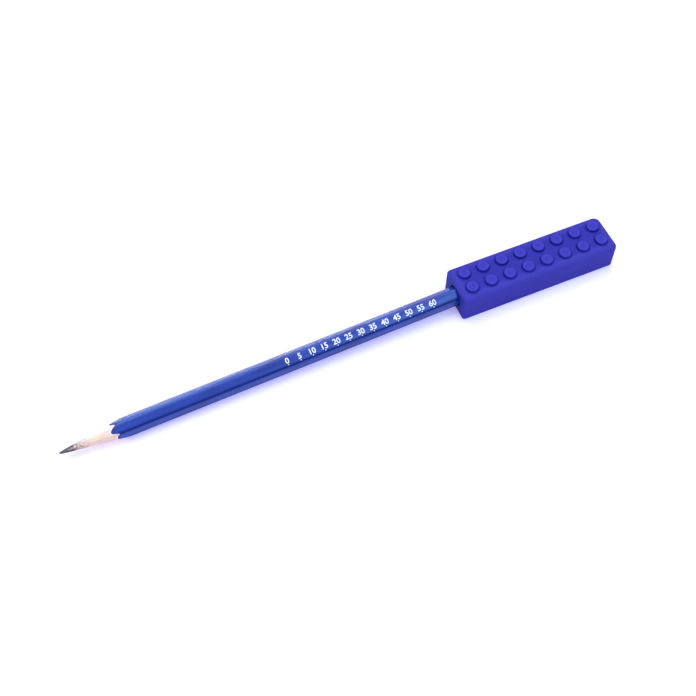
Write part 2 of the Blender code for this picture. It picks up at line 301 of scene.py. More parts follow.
PENCIL_PLACE = pencil_matrix()
FERRULE_START, FERRULE_END = span("ferrule")
BARREL_END = span("lacquer_coat")[1]
TENON_END = FERRULE_START + TENON_LENGTH
PENCIL_LENGTH = span("eraser")[1]
LEAD_RADIUS = reach("graphite_lead")
FERRULE_RADIUS = reach("ferrule") - FERRULE_BEAD_HEIGHT
PLUG_RADIUS = FERRULE_RADIUS - FERRULE_WALL - FIT_GAP
BLOCK_LOW, BLOCK_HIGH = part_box("topper")
BLOCK_TOP = BLOCK_HIGH.z - STUD_HEIGHT
BLOCK_LENGTH = BLOCK_HIGH.x - BLOCK_LOW.x
BLOCK_WIDTH = BLOCK_HIGH.y - BLOCK_LOW.y

# Corners of the block from above, anticlockwise from the far one at the closed end, and their radii
QUARTERS = ((1, 1), (-1, 1), (-1, -1), (1, -1))
CORNER_RADII = (FAR_END_CORNER_RADIUS, MOUTH_CORNER_RADIUS, MOUTH_CORNER_RADIUS, END_CORNER_RADIUS)


# Mesh helpers

def steps(start, end, count):
    """Evenly spaced values from start to end, both included."""
    return [start + (end - start) * i / count for i in range(count + 1)]


def full_turn(sides):
    """Evenly spaced angles once around."""
    return [2.0 * math.pi * i / sides for i in range(sides)]


def between(start, end, count):
    """Points that divide a straight stretch, without its two ends."""
    return [start.lerp(end, i / count) for i in range(1, count)]


def fillet(centre_out, centre_up, radius, start, end):
    """Arc of a profile as (distance out, height) pairs, between two angles in degrees."""
    angles = [math.radians(angle) for angle in steps(start, end, FILLET_STEPS)]
    return [(centre_out + radius * math.cos(a), centre_up + radius * math.sin(a)) for a in angles]


def add_strip(bm, first, second, material=0):
    """Quads between two closed rows of as many vertices."""
    for i in range(len(first)):
        j = (i + 1) % len(first)
        bm.faces.new((first[i], first[j], second[j], second[i])).material_index = material


def add_rows(bm, rows, material=0):
    """Skin over closed rows of points that follow one another."""
    made = [[bm.verts.new(point) for point in row] for row in rows]
    for first, second in zip(made, made[1:]):
        add_strip(bm, first, second, material)
    return made


def add_fan(bm, loop, middle):
    """Triangles from a closed loop to one point."""
    centre = bm.verts.new(middle)
    for i, vertex in enumerate(loop):
        bm.faces.new((vertex, loop[(i + 1) % len(loop)], centre))


def add_turned_end(bm, loop, centre, outward, normal, profile):
    """Skin from a flat boundary over a turned shape, as (radius, height) pairs, to its closed middle.

    The shape may stand askew on the flat that has the normal. Its rings then lie along the flat.
    """
    arms = []
    for point in loop:
        arm = point - centre
        arms.append((arm - outward * arm.dot(outward)).normalized())
    rises = [-arm.dot(normal) / outward.dot(normal) for arm in arms]
    rows = [loop]
    for radius, height in profile[:-1]:
        rows.append([centre + arm * radius + outward * (height + rise * radius)
                     for arm, rise in zip(arms, rises)])
    made = add_rows(bm, rows)
    add_fan(bm, made[-1], centre + outward * profile[-1][1])


def around_axis(x, radius, angle):
    """Point at a radius from the pencil's axis."""
    return Vector((x, radius * math.cos(angle), radius * math.sin(angle)))


def turned_rows(profile):
    """Rings about the pencil's axis from (x, radius) pairs."""
    return [[around_axis(x, radius, angle) for angle in full_turn(TURNED_SIDES)] for x, radius in profile]


def add_object(name, data):
    """New object in the scene."""
    thing = bpy.data.objects.new(name, data)
    bpy.context.scene.collection.objects.link(thing)
    return thing


def add_piece(name, bm, materials, body, place=Matrix()):
    """Turn a bmesh into a smooth shaded piece that moves with a body."""
    bmesh.ops.remove_doubles(bm, verts=bm.verts, dist=WELD_DISTANCE)
    bmesh.ops.recalc_face_normals(bm, faces=bm.faces)
    mesh = bpy.data.meshes.new(name)
    bm.to_mesh(mesh)
    bm.free()
    mesh.shade_smooth()
    mesh.set_sharp_from_angle(angle=math.radians(SHARP_ANGLE))
    for material in materials:
        mesh.materials.append(material)
    piece = add_object(name, mesh)
    piece.matrix_world = place
    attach(piece, body)
    return piece


# Material helpers

def start_material(name):
    """New material, with its node tree and its shader."""
    material = bpy.data.materials.new(name)
    material.use_nodes = True
    tree = material.node_tree
    return material, tree, tree.nodes["Principled BSDF"]


def set_inputs(tree, node, inputs):
    """Link each input of a node to a socket, or set it to a value."""
    for name, value in inputs.items():
        if isinstance(value, bpy.types.NodeSocket):
            tree.links.new(value, node.inputs[name])
        else:
            node.inputs[name].default_value = value


def add_node(tree, kind, inputs, **settings):
    """New node with its settings and inputs."""
    node = tree.nodes.new(kind)
    for name, value in settings.items():
        setattr(node, name, value)
    set_inputs(tree, node, inputs)
    return node


def calculate(tree, operation, *values):
    """Result of a calculation with values."""
    return add_node(tree, "ShaderNodeMath", dict(enumerate(values)), operation=operation).outputs[0]


def vector_math(tree, operation, *vectors):
    """Outputs of a calculation with vectors: Vector or Value."""
    return add_node(tree, "ShaderNodeVectorMath", dict(enumerate(vectors)), operation=operation).outputs


def product(tree, first, second):
    """Product of two values."""
    return calculate(tree, "MULTIPLY", first, second)


def remap(tree, value, low, high, to_low, to_high):
    """Value stretched from one range to another and kept inside it."""
    inputs = {"Value": value, "From Min": low, "From Max": high, "To Min": to_low, "To Max": to_high}
    return add_node(tree, "ShaderNodeMapRange", inputs).outputs["Result"]


def contrast(tree, noise, to_low=0.0, to_high=1.0):
    """Noise pattern whose middle range is stretched over another one."""
    return remap(tree, noise, *NOISE_RANGE, to_low, to_high)


def opaque(colour):
    """A plain colour as a socket takes it, or a socket as it is."""
    return colour if isinstance(colour, bpy.types.NodeSocket) else (*colour, 1.0)


def mix_colour(tree, factor, first, second):
    """Colour between two colours, each a socket or a plain colour."""
    inputs = {MIX_FACTOR: factor, MIX_FIRST: opaque(first), MIX_SECOND: opaque(second)}
    return add_node(tree, "ShaderNodeMix", inputs, data_type="RGBA").outputs[MIX_RESULT]


def relief(tree, height, depth, before=None):
    """Bump of a depth, on top of another one."""
    inputs = {"Height": height, "Distance": depth, "Strength": 1.0}
    if before is not None:
        inputs["Normal"] = before
    return add_node(tree, "ShaderNodeBump", inputs).outputs["Normal"]


def own_place(tree, along=1.0, across=1.0):
    """Place on the piece itself, so that a pattern moves with it. A small factor draws the pattern out."""
    place = add_node(tree, "ShaderNodeTexCoord", {}).outputs["Object"]
    inputs = {"Vector": place, "Scale": (along, across, across)}
    return add_node(tree, "ShaderNodeMapping", inputs).outputs["Vector"]


def own_axis(tree, axis):
    """Place on the piece along one of its axes."""
    return add_node(tree, "ShaderNodeSeparateXYZ", {"Vector": own_place(tree)}).outputs[axis]


def noise_value(tree, place, per_metre, detail=3.0, roughness=0.5):
    """Soft cloudy pattern from 0 to 1, with so many clouds in a metre."""
    inputs = {"Vector": place, "Scale": per_metre, "Detail": detail, "Roughness": roughness}
    return add_node(tree, "ShaderNodeTexNoise", inputs).outputs["Fac"]


def axis_distance(tree):
    """Distance from the lengthwise axis of a piece of the pencil."""
    return vector_math(tree, "LENGTH", own_place(tree, along=0.0))["Value"]


def facing(tree, side):
    """How far a place on a piece of the pencil faces one side, given in degrees: 1 there and -1 behind."""
    around = vector_math(tree, "NORMALIZE", own_place(tree, along=0.0))["Vector"]
    return vector_math(tree, "DOT_PRODUCT", around, around_axis(0.0, 1.0, math.radians(side)))["Value"]


def bore_distance(tree):
    """Distance from the axis of the topper's bore."""
    from_mouth = vector_math(tree, "SUBTRACT", own_place(tree), mouth_centre())["Vector"]
    across = vector_math(tree, "CROSS_PRODUCT", from_mouth, pencil_axis())["Vector"]
    return vector_math(tree, "LENGTH", across)["Value"]


def edge_nearness(tree):
    """How near a place is to the block's sides, seen from above: 0 between the studs and 1 on the edges."""
    ways = []
    for axis, limit in (("X", BLOCK_HIGH.x), ("Y", BLOCK_HIGH.y)):
        out = calculate(tree, "ABSOLUTE", own_axis(tree, axis))
        start, end = (limit - radii * TOP_EDGE_RADIUS for radii in PAINTED_EDGE_HIGHLIGHT_RADII)
        ways.append(remap(tree, out, start, end, 0.0, 1.0))
    return calculate(tree, "MAXIMUM", *ways)


def stud_distance(tree):
    """Distance from the upright middle line of the nearest stud."""
    along = calculate(tree, "WRAP", own_axis(tree, "X"), STUD_PITCH_ALONG, 0.0)
    across = calculate(tree, "ABSOLUTE", own_axis(tree, "Y"))
    place = add_node(tree, "ShaderNodeCombineXYZ", {"X": along, "Y": across}).outputs["Vector"]
    middle = (STUD_PITCH_ALONG / 2, STUD_PITCH_ACROSS / 2, 0.0)
    return vector_math(tree, "DISTANCE", place, middle)["Value"]


# Materials

def edge_mask(tree, height):
    """Painted highlight on the block's rounded upper edges."""
    rise = remap(tree, height, BLOCK_TOP - TOP_EDGE_RADIUS, BLOCK_TOP - 0.4 * TOP_EDGE_RADIUS, 0.0, 0.8)
    return product(tree, rise, edge_nearness(tree))


def stud_foot_mask(tree, height):
    """Painted shade on the flat top around the foot of each stud."""
    foot = STUD_DIAMETER / 2
    start, end = (BLOCK_TOP - depth for depth in TOP_FACE_DEPTHS)
    around = remap(tree, stud_distance(tree), foot, foot + STUD_PAINTED_SHADE_WIDTH, 0.8, 0.0)
    above = remap(tree, height, start, end, 0.0, 1.0)
    below = remap(tree, height, BLOCK_TOP + STUD_FOOT_RADIUS, BLOCK_TOP + 0.4 * STUD_HEIGHT, 1.0, 0.0)
    return product(tree, around, product(tree, above, below))


def stud_wall_mask(tree, height):
    """Painted shade on the upright wall of each stud."""
    above = remap(tree, height, BLOCK_TOP, BLOCK_TOP + 0.2 * STUD_HEIGHT, 0.0, 0.7)
    below = remap(tree, height, BLOCK_TOP + 0.6 * STUD_HEIGHT, BLOCK_TOP + 0.85 * STUD_HEIGHT, 1.0, 0.0)
    return product(tree, above, below)


def stud_top_mask(tree, height):
    """Painted highlight on the top of each stud, and on its rim most of all."""
    dish = BLOCK_HIGH.z - STUD_DISH
    rim = remap(tree, height, dish, BLOCK_HIGH.z, 0.3, 1.0)
    above = remap(tree, height, BLOCK_TOP + 0.8 * STUD_HEIGHT, dish, 0.0, 1.0)
    return product(tree, rim, above)


def bore_mask(tree):
    """Painted shade on the inside of the bore."""
    bore_end = BLOCK_LOW.x + BORE_DEPTH
    inside = remap(tree, bore_distance(tree), BORE_RADIUS, BORE_RADIUS + BORE_LIP_RADIUS, 0.9, 0.0)
    before_end = remap(tree, own_axis(tree, "X"), bore_end, bore_end + BORE_END_RADIUS, 1.0, 0.0)
    return product(tree, inside, before_end)


def topper_shades(tree):
    """Masks and colours of the topper's painted highlights and painted shade, each over the ones before it.
    """
    height = own_axis(tree, "Z")
    return (
        (edge_mask(tree, height), TOPPER_EDGE_PAINTED_HIGHLIGHT),
        (stud_foot_mask(tree, height), STUD_FOOT_PAINTED_SHADE),
        (stud_wall_mask(tree, height), STUD_WALL_PAINTED_SHADE),
        (stud_top_mask(tree, height), STUD_TOP_PAINTED_HIGHLIGHT),
        (bore_mask(tree), BORE_PAINTED_SHADE),
    )


def topper_material():
    """Soft moulded elastomer: satin and mottled, with painted shade around the studs and in the bore, and
    painted highlights on edges and stud tops.
    """
    material, tree, shader = start_material("topper_elastomer")
    place = own_place(tree)
    clouds = noise_value(tree, place, 90.0)
    tooth = noise_value(tree, place, 5200.0, detail=2.0)
    speck = noise_value(tree, place, 1500.0, detail=2.0)
    colour = mix_colour(tree, contrast(tree, clouds), TOPPER_BLUE, TOPPER_CLOUD)
    colour = mix_colour(tree, remap(tree, speck, 0.55, 0.8, 0.0, 0.25), colour, TOPPER_SPECK)
    for mask, shade in topper_shades(tree):
        colour = mix_colour(tree, mask, colour, shade)
    set_inputs(tree, shader, {
        "Base Color": colour,
        "Roughness": contrast(tree, speck, 0.64, 0.74),
        "Normal": relief(tree, tooth, TOOTH_DEPTH),
        "IOR": 1.45,
        "Specular IOR Level": 0.15,
    })
    return material


def lacquer_material():
    """Glossy blue lacquer drawn along the barrel, with painted shade on its duller lower ridges and a painted
    highlight on the top ridge near the point.
    """
    material, tree, shader = start_material("lacquer_gloss")
    grain = noise_value(tree, own_place(tree, along=0.03), 2600.0)
    peel = noise_value(tree, own_place(tree, along=0.35), 700.0, detail=1.0)
    clouds = noise_value(tree, own_place(tree, along=0.2), 330.0, detail=2.0)
    height = own_axis(tree, "Z")
    ridge = remap(tree, axis_distance(tree), *RIDGE_REACH, 0.0, 1.0)
    on_top = remap(tree, height, *TOP_RIDGE_HEIGHT, 0.0, 1.0)
    in_front = remap(tree, own_axis(tree, "X"), *PAINTED_RIDGE_HIGHLIGHT_STRETCH, 0.65, 0.0)
    # Painted highlight on the top ridge, fading away from the point
    pale = product(tree, ridge, product(tree, on_top, in_front))
    # Painted shade on the ridges below the top one, where the gloss is also turned down
    painted_ridge_shade = product(tree, ridge, remap(tree, height, *TOP_RIDGE_HEIGHT, PAINTED_RIDGE_SHADE_SHARE, 0.0))
    colour = mix_colour(tree, contrast(tree, clouds), LACQUER_DEEP, LACQUER_BLUE)
    colour = mix_colour(tree, remap(tree, grain, 0.55, 0.85, 0.0, 0.30), colour, LACQUER_GRAIN)
    colour = mix_colour(tree, pale, colour, LACQUER_TOP_RIDGE_PAINTED_HIGHLIGHT)
    colour = mix_colour(tree, painted_ridge_shade, colour, LACQUER_PAINTED_RIDGE_SHADE)
    gloss = remap(tree, painted_ridge_shade, 0.0, PAINTED_RIDGE_SHADE_SHARE, 0.5, 0.18)
    below = remap(tree, facing(tree, LOWER_SIDE), 0.80, 1.0, 1.0, 0.80)
    set_inputs(tree, shader, {
        "Base Color": colour,
        "Roughness": contrast(tree, grain, 0.14, 0.22),
        "Specular IOR Level": product(tree, gloss, below),
        "Normal": relief(tree, peel, PEEL_DEPTH, relief(tree, grain, LACQUER_GRAIN_DEPTH)),
        "IOR": 1.45,
    })
    return material


def cut_lacquer_material(name, colours):
    """Edge of one layer of the finish where the sharpener cut it."""
    material, tree, shader = start_material(name)
    chips = noise_value(tree, own_place(tree), 3500.0)
    set_inputs(tree, shader, {
        "Base Color": mix_colour(tree, remap(tree, chips, 0.35, 0.7, 0.0, 1.0), *colours),
        "Roughness": contrast(tree, chips, 0.45, 0.65),
        "Normal": relief(tree, chips, CHIP_DEPTH),
        "IOR": 1.5,
    })
    return material


def wood_material(name, colours):
    """Bare wood with lengthwise grain, pores, cutting marks and graphite smudged in next to the lead, and a
    painted highlight on the side that faces up and back.
    """
    pale, warm, pore = colours
    material, tree, shader = start_material(name)
    grain = noise_value(tree, own_place(tree, along=0.02), 2200.0, detail=5.0, roughness=0.6)
    pores = noise_value(tree, own_place(tree, along=0.12), 5200.0, detail=2.0, roughness=0.6)
    marks = noise_value(tree, own_place(tree, across=0.08), 3800.0, detail=2.0, roughness=0.6)
    clouds = noise_value(tree, own_place(tree, along=0.5), 2400.0, roughness=0.6)
    # Painted highlight on the side of the wood that faces up and back
    wood_painted_highlight = remap(tree, facing(tree, WOOD_PAINTED_HIGHLIGHT_SIDE), 0.62, 0.98, 0.0, 1.0)
    near_lead = remap(tree, own_axis(tree, "X"), *SMUDGED_STRETCH, 1.0, 0.0)
    smudged = product(tree, near_lead, remap(tree, clouds, 0.38, 0.58, 0.15, 1.0))
    colour = mix_colour(tree, remap(tree, grain, 0.35, 0.7, 0.0, 1.0), pale, warm)
    colour = mix_colour(tree, remap(tree, pores, 0.62, 0.78, 0.0, 0.45), colour, pore)
    colour = mix_colour(tree, wood_painted_highlight, colour, WOOD_PAINTED_HIGHLIGHT)
    colour = mix_colour(tree, smudged, colour, SMUDGED_WOOD)
    set_inputs(tree, shader, {
        "Base Color": colour,
        "Roughness": contrast(tree, grain, 0.55, 0.75),
        "Normal": relief(tree, marks, CUTTING_MARK_DEPTH, relief(tree, pores, PORE_DEPTH)),
        "IOR": 1.45,
        "Specular IOR Level": 0.3,
    })
    return material


def graphite_material():
    """Dark grey lead with a dull metallic sheen, fine turning marks and a streaky painted highlight on its
    upper front side, fainter at the tip.
    """
    material, tree, shader = start_material("graphite_core")
    marks = noise_value(tree, own_place(tree, across=0.1), 5000.0, roughness=0.6)
    streaks = noise_value(tree, own_place(tree, along=0.15), 2500.0)
    # Painted highlight along the lead's upper front side, streaky and fainter at the tip
    bright = remap(tree, facing(tree, LEAD_PAINTED_HIGHLIGHT_SIDE), 0.70, 0.96, 0.0, 1.0)
    lead_painted_highlight = product(tree, bright, remap(tree, streaks, 0.35, 0.6, 0.2, 1.0))
    behind_tip = remap(tree, own_axis(tree, "X"), *LEAD_PAINTED_HIGHLIGHT_STRETCH, 0.15, 1.0)
    set_inputs(tree, shader, {
        "Base Color": mix_colour(tree, product(tree, lead_painted_highlight, behind_tip), GRAPHITE_DARK, GRAPHITE_PAINTED_HIGHLIGHT),
        "Roughness": contrast(tree, marks, 0.34, 0.50),
        "Normal": relief(tree, marks, TURNING_MARK_DEPTH),
        "Metallic": 0.3,
        "IOR": 1.6,
    })
    return material


def aluminium_material():
    """Rolled aluminium with fine drawing lines and a slightly dull film."""
    material, tree, shader = start_material("ferrule_aluminium")
    lines = noise_value(tree, own_place(tree, along=0.04), 6000.0, roughness=0.6)
    film = noise_value(tree, own_place(tree), 500.0)
    dull = remap(tree, film, 0.3, 0.75, 0.0, 1.0)
    set_inputs(tree, shader, {
        "Base Color": mix_colour(tree, dull, ALUMINIUM_CLEAN, ALUMINIUM_DULL),
        "Roughness": contrast(tree, lines, 0.20, 0.36),
        "Normal": relief(tree, lines, DRAWING_LINE_DEPTH),
        "Metallic": 1.0,
    })
    return material


def eraser_material():
    """Matte pink rubber with a fine gritty filler."""
    material, tree, shader = start_material("eraser_rubber")
    place = own_place(tree)
    grit = noise_value(tree, place, 4200.0, roughness=0.6)
    clouds = noise_value(tree, place, 450.0)
    colour = mix_colour(tree, contrast(tree, clouds), ERASER_PINK, ERASER_PALE)
    colour = mix_colour(tree, remap(tree, grit, 0.62, 0.8, 0.0, 0.35), colour, ERASER_GRIT)
    set_inputs(tree, shader, {
        "Base Color": colour,
        "Roughness": contrast(tree, grit, 0.72, 0.90),
        "Normal": relief(tree, grit, GRIT_DEPTH),
        "Specular IOR Level": 0.3,
    })
    return material


def foil_material():
    """White stamped foil, slightly uneven where the stamp pressed less."""
    material, tree, shader = start_material("white_foil")
    wear = noise_value(tree, own_place(tree), 1400.0, detail=4.0, roughness=0.6)
    set_inputs(tree, shader, {
        "Base Color": mix_colour(tree, remap(tree, wear, 0.45, 0.8, 0.0, 0.5), FOIL_WHITE, FOIL_WORN),
        "Roughness": contrast(tree, wear, 0.30, 0.45),
        "Normal": relief(tree, wear, STAMP_DEPTH),
        "IOR": 1.5,
    })
    return material


def floor_material():
    """Plain white studio table, faintly lit from below."""
    material, tree, shader = start_material("studio_white")
    fibre = noise_value(tree, own_place(tree), 60.0)
    set_inputs(tree, shader, {
        "Base Color": mix_colour(tree, contrast(tree, fibre), TABLE_WHITE, TABLE_FIBRE),
        "Roughness": 0.9,
        "Specular IOR Level": 0.0,
        "Emission Color": TABLE_GLOW,
        "Emission Strength": TABLE_GLOW_STRENGTH,
    })
    return material


# Topper

def stud_places(count, pitch):
    """Places at a pitch about the middle."""
    return [(i - (count - 1) / 2) * pitch for i in range(count)]


def cell_limits(count, pitch, full_length, inset):
    """Limits between the shares that the studs have of a flat face, along one direction."""
    limits = [(i - count / 2) * pitch for i in range(count + 1)]
    limits[0] = inset - full_length / 2
    limits[-1] = -limits[0]
    return limits


def limits_along(inset):
    """Limits between the studs' shares from the mouth to the closed end."""
    return cell_limits(STUDS_ALONG, STUD_PITCH_ALONG, BLOCK_LENGTH, inset)


def limits_across(inset):
    """Limits between the studs' shares from the near side to the far side."""
    return cell_limits(STUDS_ACROSS, STUD_PITCH_ACROSS, BLOCK_WIDTH, inset)


def corner_arc(quarter, inset, z):
    """Rounded corner of the block's outline from above, drawn in from its full size."""
    side_x, side_y = QUARTERS[quarter]
    radius = max(CORNER_RADII[quarter] - inset, LEAST_CORNER_RADIUS)
    centre_x = side_x * (BLOCK_LENGTH / 2 - inset - radius)
    centre_y = side_y * (BLOCK_WIDTH / 2 - inset - radius)
    start = quarter * math.pi / 2
    angles = steps(start, start + math.pi / 2, CORNER_STEPS)
    return [Vector((centre_x + radius * math.cos(a), centre_y + radius * math.sin(a), z)) for a in angles]


def cell_corner(column, row, quarter, inset, z):
    """One corner of a stud's share of a flat face, rounded where it is the block's own corner."""
    side_x, side_y = QUARTERS[quarter]
    at_end = column == (STUDS_ALONG - 1 if side_x > 0 else 0)
    at_side = row == (STUDS_ACROSS - 1 if side_y > 0 else 0)
    if at_end and at_side:
        return corner_arc(quarter, inset, z)
    x = limits_along(inset)[column + 1 if side_x > 0 else column]
    y = limits_across(inset)[row + 1 if side_y > 0 else row]
    return [Vector((x, y, z))]


def cell_loop(column, row, inset, z):
    """Boundary of a stud's share of the flat top or underside."""
    corners = [cell_corner(column, row, quarter, inset, z) for quarter in range(len(QUARTERS))]
    loop = []
    for corner, following in zip(corners, corners[1:] + corners[:1]):
        loop += corner + between(corner[-1], following[0], SIDE_STEPS)
    return loop


def block_loop(inset, z):
    """Outline of the block at one height, drawn in from its full size, with points where the shares meet."""
    loop = []
    for quarter in range(len(QUARTERS)):
        arc = corner_arc(quarter, inset, z)
        end = corner_arc((quarter + 1) % len(QUARTERS), inset, z)[0]
        if quarter % 2 == 0:
            places = [Vector((x, end.y, z)) for x in limits_along(inset)[1:-1]]
        else:
            places = [Vector((end.x, y, z)) for y in limits_across(inset)[1:-1]]
        if quarter < 2:
            places.reverse()
        loop += arc[:-1]
        chain = [arc[-1]] + places + [end]
        for start, stop in zip(chain, chain[1:]):
            loop += [start] + between(start, stop, SIDE_STEPS)
    return loop


def wall_heights():
    """Heights of the block's upright wall, between its rounded edges."""
    return steps(BASE_EDGE_RADIUS, BLOCK_TOP - TOP_EDGE_RADIUS, WALL_STEPS)


def add_block_sides(bm):
    """Rounded edges above and below and the wall between them, without the flat mouth end."""
    lower = fillet(0.0, BASE_EDGE_RADIUS, BASE_EDGE_RADIUS, -90.0, 0.0)
    upper = fillet(0.0, BLOCK_TOP - TOP_EDGE_RADIUS, TOP_EDGE_RADIUS, 0.0, 90.0)
    loops = [block_loop(BASE_EDGE_RADIUS - out, z) for out, z in lower]
    loops += [block_loop(0.0, z) for z in wall_heights()[1:-1]]
    loops += [block_loop(TOP_EDGE_RADIUS - out, z) for out, z in upper]
    add_rows(bm, loops)
    mouth = [face for face in bm.faces if all(v.co.x < BLOCK_LOW.x + WELD_DISTANCE for v in face.verts)]
    bmesh.ops.delete(bm, geom=mouth, context="FACES")


def stud_profile():
    """Foot fillet, wall, rounded rim and faintly dished top of a stud, from the block's top upwards."""
    radius = STUD_DIAMETER / 2
    flat = radius - STUD_RIM_RADIUS
    foot = fillet(radius + STUD_FOOT_RADIUS, STUD_FOOT_RADIUS, STUD_FOOT_RADIUS, 270.0, 180.0)
    rim = fillet(flat, STUD_HEIGHT - STUD_RIM_RADIUS, STUD_RIM_RADIUS, 0.0, 90.0)
    dish = [(flat * share, STUD_HEIGHT - STUD_DISH * (1.0 - share ** 2) ** 2) for share in DISH_SHARES]
    return foot + rim + dish


def bore_profile():
    """Rounded lip, wall and rounded blind end of the bore, as heights out of the mouth end."""
    lip = fillet(BORE_RADIUS + BORE_LIP_RADIUS, -BORE_LIP_RADIUS, BORE_LIP_RADIUS, 90.0, 180.0)
    end_start = BORE_END_RADIUS - BORE_DEPTH
    wall = [(BORE_RADIUS, height) for height in steps(-BORE_LIP_RADIUS, end_start, BORE_STEPS)[1:-1]]
    end = fillet(BORE_RADIUS - BORE_END_RADIUS, end_start, BORE_END_RADIUS, 0.0, -90.0)
    return lip + wall + end + [(0.0, -BORE_DEPTH)]


def mouth_loop():
    """Boundary of the flat mouth end, with the points that the block's wall has."""
    heights = wall_heights()
    stops = limits_across(MOUTH_CORNER_RADIUS)
    row = [stops[0]]
    for start, stop in zip(stops, stops[1:]):
        row += steps(start, stop, SIDE_STEPS)[1:]
    bottom = [Vector((BLOCK_LOW.x, y, heights[0])) for y in row]
    top = [Vector((BLOCK_LOW.x, y, heights[-1])) for y in reversed(row)]
    rising = [Vector((BLOCK_LOW.x, row[-1], z)) for z in heights[1:-1]]
    falling = [Vector((BLOCK_LOW.x, row[0], z)) for z in reversed(heights[1:-1])]
    return bottom + rising + top + falling


def add_stud(bm, column, row, middle):
    """One stud with its share of the flat top."""
    up = Vector((0.0, 0.0, 1.0))
    add_turned_end(bm, cell_loop(column, row, TOP_EDGE_RADIUS, middle.z), middle, up, up, stud_profile())


def add_underside(bm, column, row, middle):
    """The share of the flat underside below one stud."""
    loop = [bm.verts.new(point) for point in cell_loop(column, row, BASE_EDGE_RADIUS, middle.z)]
    add_fan(bm, loop, middle)


def make_topper():
    """The moulding: a soft-edged block with studs on top and a blind bore that lies along the pencil."""
    bm = bmesh.new()
    add_block_sides(bm)
    for column, x in enumerate(stud_places(STUDS_ALONG, STUD_PITCH_ALONG)):
        for row, y in enumerate(stud_places(STUDS_ACROSS, STUD_PITCH_ACROSS)):
            add_stud(bm, column, row, Vector((x, y, BLOCK_TOP)))
            add_underside(bm, column, row, Vector((x, y, BLOCK_LOW.z)))
    out_of_mouth = Vector((-1.0, 0.0, 0.0))
    add_turned_end(bm, mouth_loop(), mouth_centre(), -pencil_axis(), out_of_mouth, bore_profile())
    piece = add_piece("topper_moulding", bm, [topper_material()], "topper")
    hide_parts("topper")


# Barrel and point of the pencil

def facet_centre():
    """Place of the middle of a facet's wide arc, along the direction that the facet faces."""
    return COAT_FLAT - BARREL_FACET_RADIUS


def corner_centre():
    """Distance from the axis to the middle of a corner's arc, which runs into the arcs of two facets."""
    beside = facet_centre() * math.sin(FACET_ANGLE / 2)
    reach_out = math.sqrt((BARREL_FACET_RADIUS - BARREL_CORNER_RADIUS) ** 2 - beside ** 2)
    return facet_centre() * math.cos(FACET_ANGLE / 2) + reach_out


def facet_end_angle():
    """Angle from a facet's middle to where its rounded corner starts."""
    corner_x = corner_centre() * math.cos(FACET_ANGLE / 2)
    corner_y = corner_centre() * math.sin(FACET_ANGLE / 2)
    turn = math.atan2(corner_y, corner_x - facet_centre())
    return math.atan2(BARREL_FACET_RADIUS * math.sin(turn),
                      facet_centre() + BARREL_FACET_RADIUS * math.cos(turn))


def arc_reach(centre, radius, angle):
    """Distance from the axis to an arc, at an angle from the direction that its middle lies in."""
    return centre * math.cos(angle) + math.sqrt(radius ** 2 - (centre * math.sin(angle)) ** 2)


def hexagon_radius(angle, depth=0.0):
    """Distance from the axis to the barrel's soft hexagon, at a depth. A facet faces angle zero."""
    from_facet = abs((angle + FACET_ANGLE / 2) % FACET_ANGLE - FACET_ANGLE / 2)
    if from_facet <= facet_end_angle():
        return arc_reach(facet_centre(), BARREL_FACET_RADIUS - depth, from_facet)
    return arc_reach(corner_centre(), BARREL_CORNER_RADIUS - depth, FACET_ANGLE / 2 - from_facet)


def barrel_angles(start, facets):
    """Angles from the middle of one corner over a number of facets, close together around the corners."""
    half_ridge = FACET_ANGLE / 2 - facet_end_angle()
    angles = []
    for facet in range(facets):
        corner = start + facet * FACET_ANGLE
        angles += steps(corner, corner + half_ridge, RIDGE_STEPS // 2)[:-1]
        angles += steps(corner + half_ridge, corner + FACET_ANGLE - half_ridge, FACET_STEPS)[:-1]
        angles += steps(corner + FACET_ANGLE - half_ridge, corner + FACET_ANGLE, RIDGE_STEPS // 2)[:-1]
    return angles


def cut_slope(angle):
    """How fast the sharpened cone widens at one angle: it leans, wavers and cuts each facet a bit askew."""
    lean = LEAN_SLOPE * math.cos(angle - math.radians(SHARPENED_LEAN_TOWARDS))
    waver = sum(share * math.sin(waves * angle + start) for share, waves, start in CUT_WAVERS)
    around = FACET_COUNT * angle
    askew = SCALLOP_SKEW * (math.sin(around) - SCALLOP_SINK * (1.0 + math.cos(around)))
    return (SHARPENED_SLOPE + lean) * (1.0 + waver + askew)


def point_swell(x):
    """How much fuller than a straight cone the point is at a distance from its tip."""
    share = x / POINT_SWELL_PLACE
    return POINT_SWELL * share * math.exp(1.0 - share)


def cone_radius(x, angle):
    """Radius of the sharpened cone at a distance from the point."""
    return POINT_DIAMETER / 2 + x * cut_slope(angle) + point_swell(x)


def sharpened_x(radius, angle):
    """Distance from the point at which the sharpened cone has a radius, found in a few steps."""
    x = (radius - POINT_DIAMETER / 2) / cut_slope(angle)
    for _ in range(SOLVING_STEPS):
        x += (radius - cone_radius(x, angle)) / cut_slope(angle)
    return x


# Pieces of the pencil

def coat_ring(angles, depth, share):
    """Ring of the finish between the sharpened edge, at share 0, and the ferrule, at share 1."""
    ring = []
    for angle in angles:
        radius = hexagon_radius(angle, depth)
        edge = sharpened_x(radius, angle)
        ring.append(around_axis(edge + (BARREL_END - edge) * share, radius, angle))
    return ring


